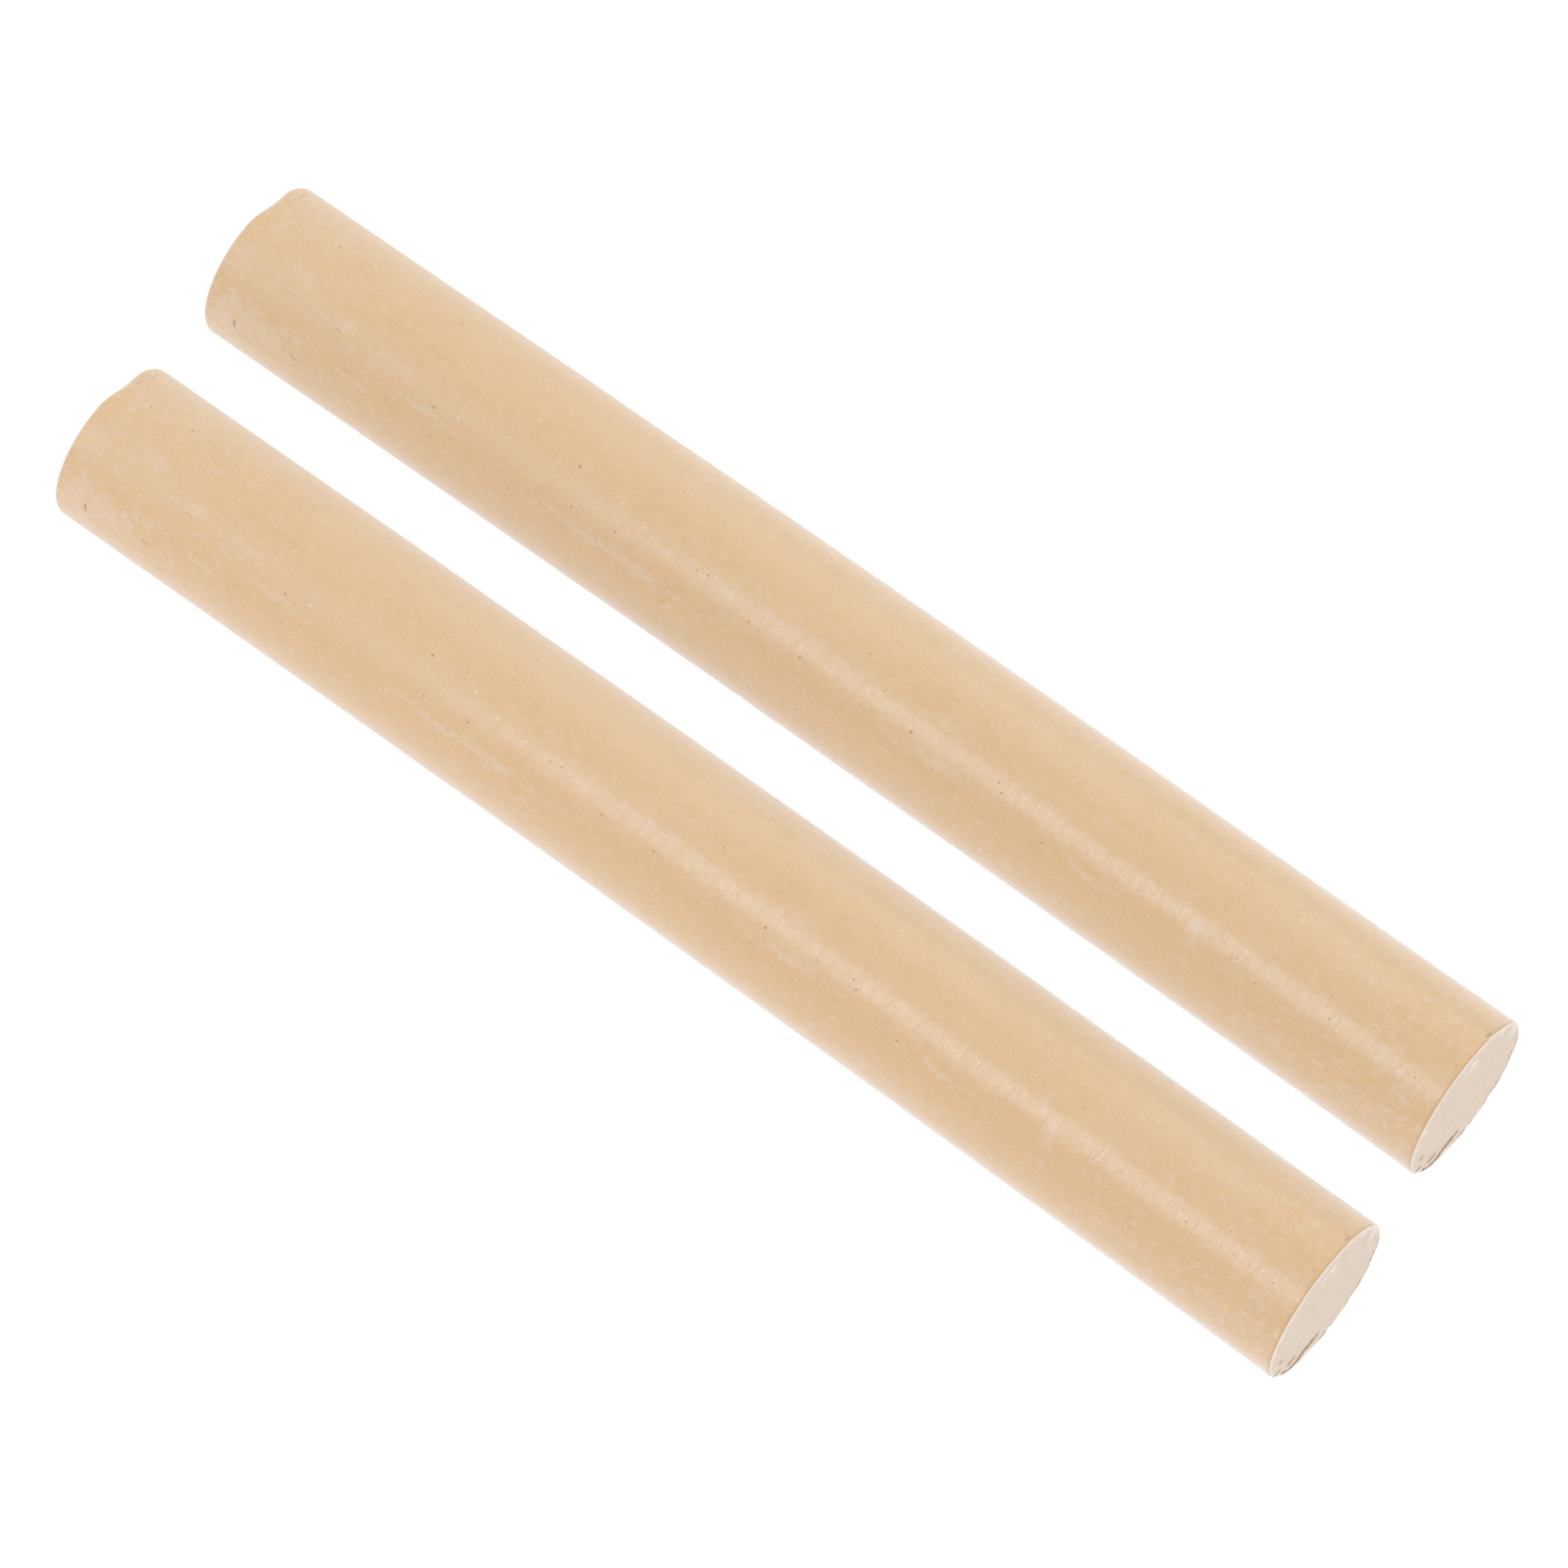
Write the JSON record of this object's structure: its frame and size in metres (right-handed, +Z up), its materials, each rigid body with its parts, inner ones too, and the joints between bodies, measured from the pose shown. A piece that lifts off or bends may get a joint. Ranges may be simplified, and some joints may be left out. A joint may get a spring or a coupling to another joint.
{
  "type": "claves",
  "caption": "Claves: plain round wooden percussion rods, side by side, one struck across on the other, with sawn end faces and lightly rounded rims.",
  "frame": {"origin": "on the table, midway between the rods and midway along the pair", "axes": "+X along both rods, towards their clean ends; +Y from the striking rod to the resting rod; +Z up"},
  "size_m": [0.203, 0.0566, 0.023],
  "materials": {
    "wood": "satin"
  },
  "bodies": {
    "resting": {"resting_clave": "wood"},
    "striking": {"striking_clave": "wood"}
  },
  "joints": [
    {"name": "strike", "type": "slide", "parent": "resting", "child": "striking", "axis": [0, 1, 0], "range_m": [-0.1, 0.0103]}
  ]
}
